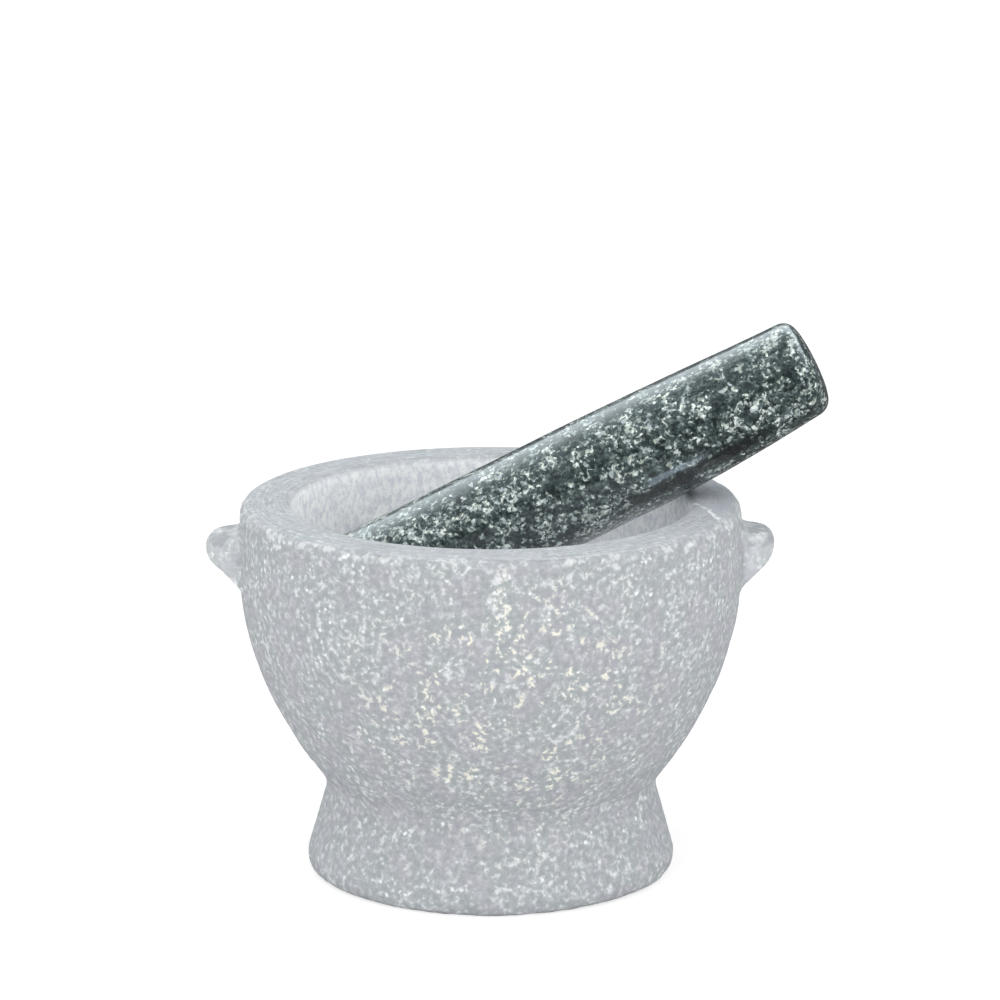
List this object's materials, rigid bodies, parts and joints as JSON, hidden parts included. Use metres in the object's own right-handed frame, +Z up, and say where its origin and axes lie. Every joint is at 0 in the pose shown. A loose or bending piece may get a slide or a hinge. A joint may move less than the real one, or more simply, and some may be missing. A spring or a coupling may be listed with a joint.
{
  "type": "mortar and pestle",
  "caption": "Granite mortar with a round bowl, flat-topped rim, solid side lugs and a flared round foot, and a dark granite pestle leaning in the bowl.",
  "frame": {"origin": "centre of the mortar foot's flat underside", "axes": "+Z up out of the bowl; +X through one lug, under the end of the pestle that is held; +Y horizontal, towards the side of the bowl where the pestle lies, whose axis is 10 mm off the bowl's axis"},
  "size_m": [0.1866, 0.15, 0.1644],
  "materials": {
    "mortar_granite": "pale grey granite, honed rim, lightly pecked outside and in the bowl, white and a few cream specks",
    "pestle_granite": "polished dark green-black granite with dense pale flecks"
  },
  "bodies": {
    "mortar": {"mortar": "mortar_granite"},
    "pestle": {"pestle": "pestle_granite"}
  },
  "joints": [
    {"name": "pestle_lift", "type": "slide", "parent": "mortar", "child": "pestle", "axis": [0, 0, 1], "range_m": [0, 0.07]}
  ]
}
